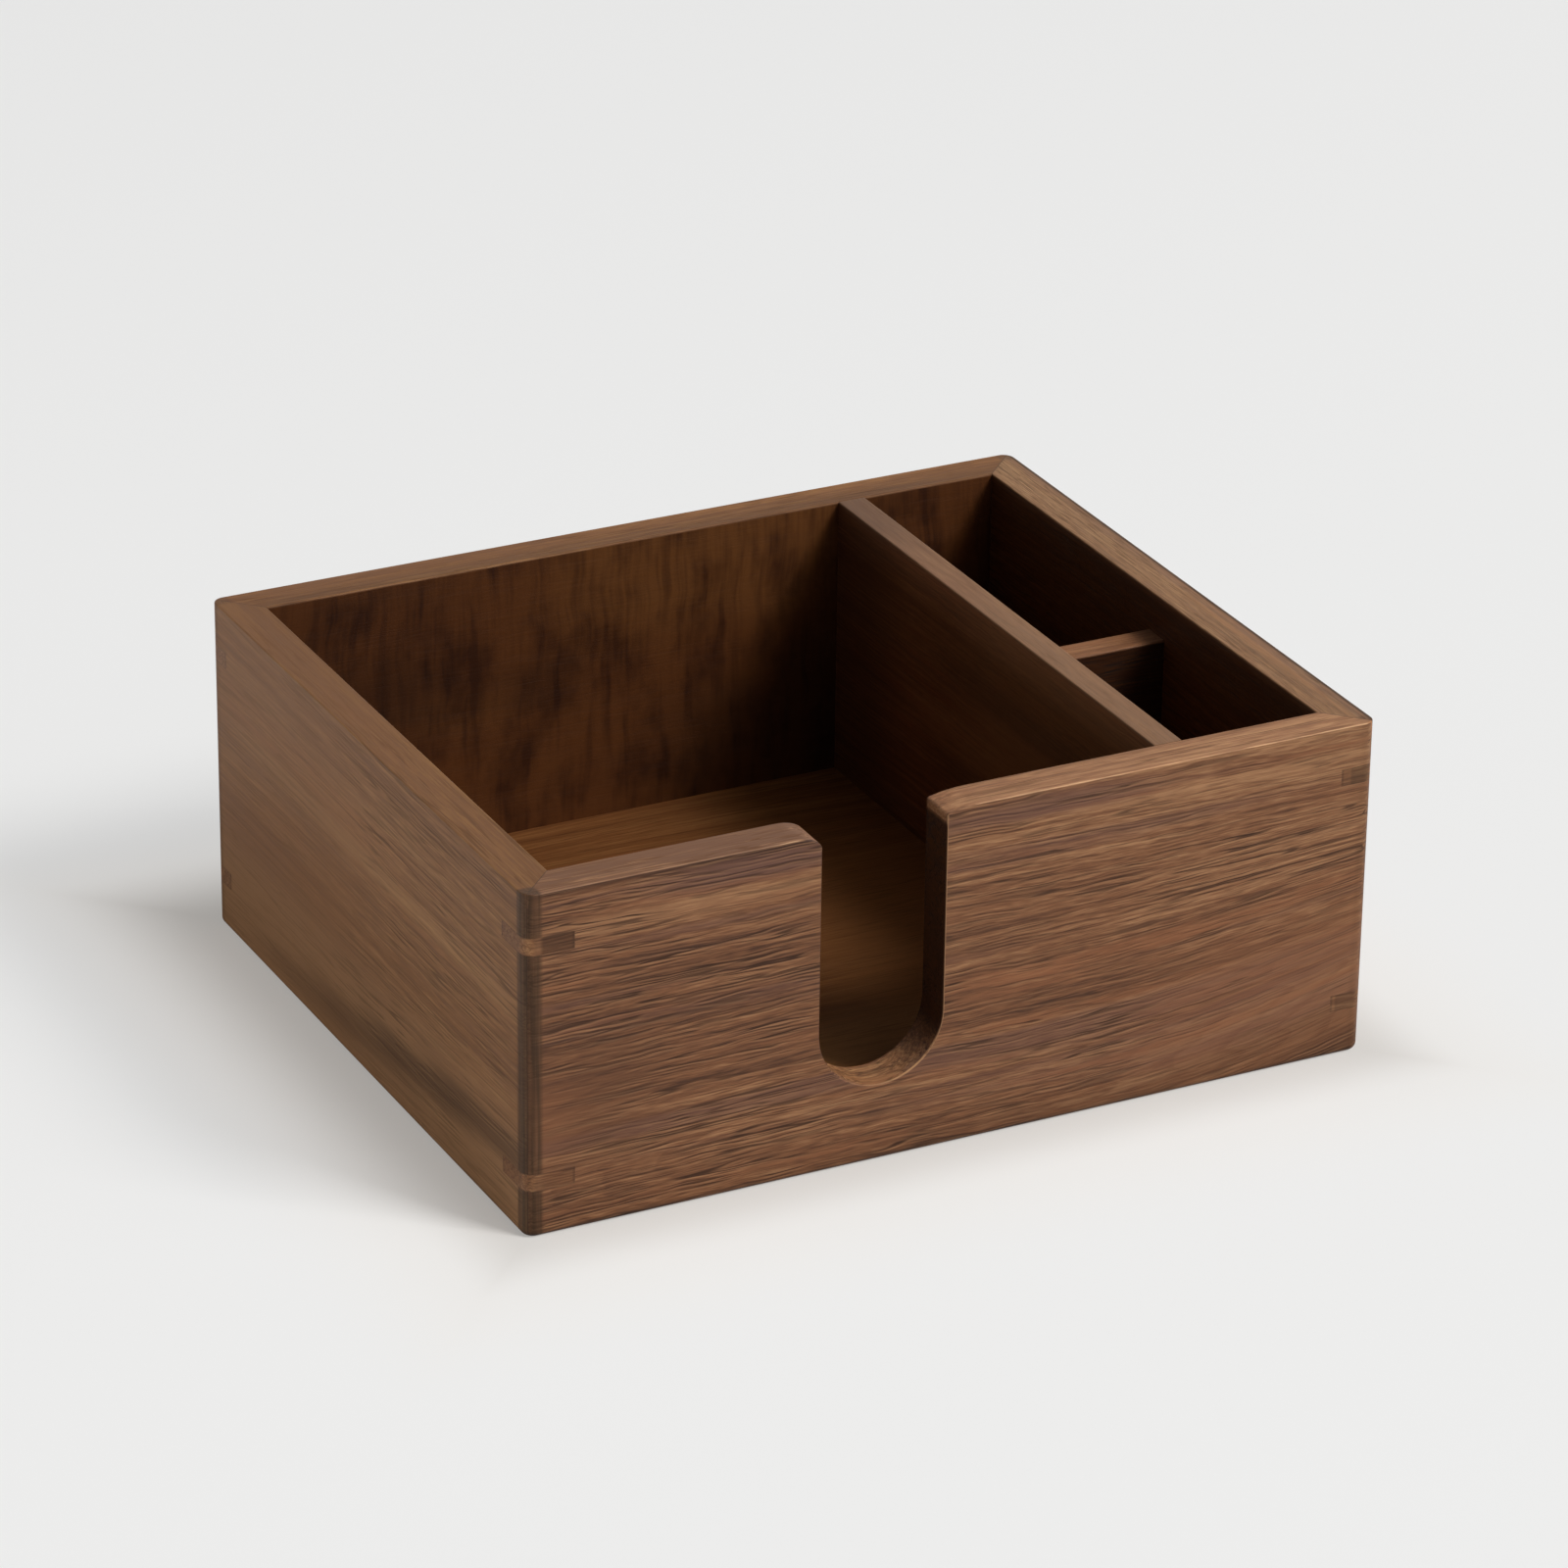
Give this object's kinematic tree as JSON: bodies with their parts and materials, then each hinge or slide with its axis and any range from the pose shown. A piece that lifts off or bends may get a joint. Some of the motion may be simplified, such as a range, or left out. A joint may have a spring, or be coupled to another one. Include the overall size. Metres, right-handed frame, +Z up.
{
  "type": "napkin holder",
  "caption": "Open walnut box that holds a stack of folded paper napkins, with a finger notch in the front wall, a divided side bay and mitred corners with keys.",
  "frame": {"origin": "middle of the base, on the surface that the box stands on", "axes": "+X to the right seen from the front, the front wall with the notch faces -Y, +Z up"},
  "size_m": [0.254, 0.21, 0.1],
  "materials": {
    "walnut_front": "oiled satin, grain level",
    "walnut_sides": "oiled satin, grain level",
    "walnut_floor": "oiled satin, grain left to right",
    "walnut_dividers": "oiled satin, grain along the length",
    "walnut_keys": "oiled satin, grain across the corner"
  },
  "bodies": {
    "root": {"front_panel": "walnut_front", "back_panel": "walnut_sides", "left_panel": "walnut_sides", "right_panel": "walnut_sides", "bottom_panel": "walnut_floor", "long_divider": "walnut_dividers", "cross_divider": "walnut_dividers", "key_front_left_upper": "walnut_keys", "key_front_left_lower": "walnut_keys", "key_front_right_upper": "walnut_keys", "key_front_right_lower": "walnut_keys", "key_back_left_upper": "walnut_keys", "key_back_left_lower": "walnut_keys", "key_back_right_upper": "walnut_keys", "key_back_right_lower": "walnut_keys"}
  },
  "joints": []
}
